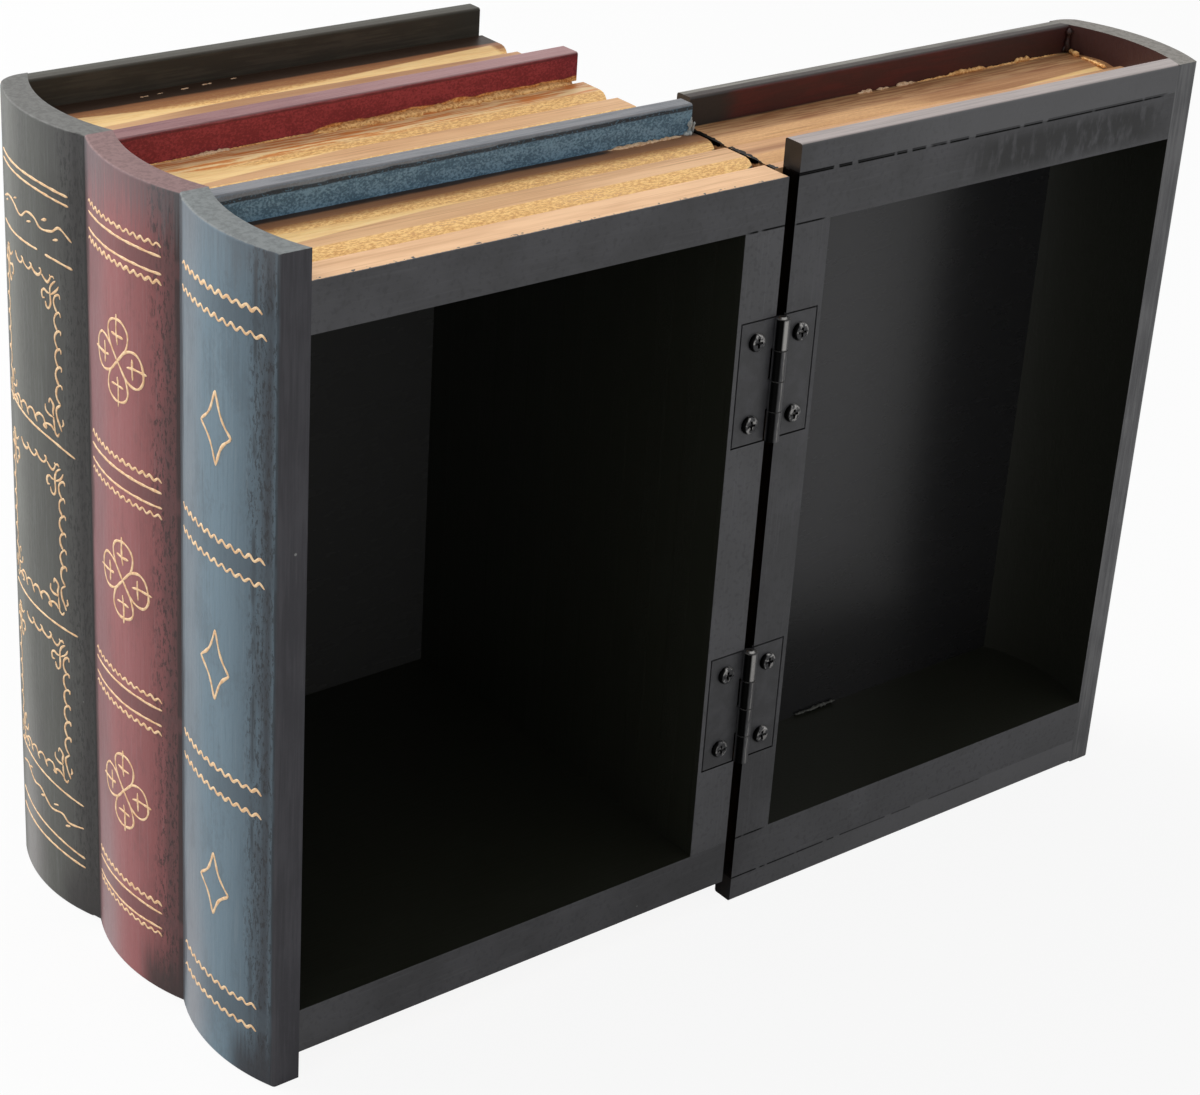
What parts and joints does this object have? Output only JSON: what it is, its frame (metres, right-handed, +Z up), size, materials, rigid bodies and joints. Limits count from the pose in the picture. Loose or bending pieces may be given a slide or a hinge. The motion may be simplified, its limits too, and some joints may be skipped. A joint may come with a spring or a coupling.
{
  "type": "book box",
  "caption": "Wooden keepsake box that looks like a row of old books: spines and page blocks form the case, and the end book swings open as its door.",
  "frame": {"origin": "centre of the footprint of the box standing open at 180 degrees, on the surface it stands on", "axes": "+X from the case towards the door along the open width, +Y from the open front towards the back cover, +Z up"},
  "size_m": [0.3414, 0.1542, 0.25],
  "materials": {
    "green_paint": "dark green-grey antiqued paint, satin, dry-brushed paler on the upper edges",
    "red_paint": "burgundy antiqued paint, satin, shaded black towards the joints",
    "blue_paint": "steel blue antiqued paint, satin, shaded black towards the front edge",
    "black_paint": "satin black-grey paint with brush marks",
    "page_gold": "gold paint on the page faces, black paint on the front edges and inside",
    "hinge_metal": "thin black paint, worn bright on the knuckles",
    "pin_metal": "bare steel",
    "screw_metal": "black paint, worn to bare steel on the heads"
  },
  "bodies": {
    "case": {"green_cover": "green_paint", "green_spine": "green_paint", "red_spine": "red_paint", "blue_spine": "blue_paint", "case_top_panel": "page_gold", "case_bottom_panel": "page_gold", "case_fore_edge_panel": "page_gold", "red_top_strip": "red_paint", "red_bottom_strip": "red_paint", "blue_top_strip": "blue_paint", "blue_bottom_strip": "blue_paint", "upper_hinge_case_leaf": "hinge_metal", "lower_hinge_case_leaf": "hinge_metal", "upper_hinge_pin": "pin_metal", "lower_hinge_pin": "pin_metal", "upper_case_screws": "screw_metal", "lower_case_screws": "screw_metal"},
    "door": {"door_cover": "black_paint", "door_spine": "black_paint", "door_top_panel": "page_gold", "door_bottom_panel": "page_gold", "door_fore_edge_panel": "page_gold", "door_top_strip": "black_paint", "door_bottom_strip": "black_paint", "upper_hinge_door_leaf": "hinge_metal", "lower_hinge_door_leaf": "hinge_metal", "upper_door_screws": "screw_metal", "lower_door_screws": "screw_metal"}
  },
  "joints": [
    {"name": "door_swing", "type": "hinge", "parent": "case", "child": "door", "pos_m": [0, -0.0749, 0.125], "axis": [0, 0, 1], "range_deg": [-180, 0]}
  ]
}
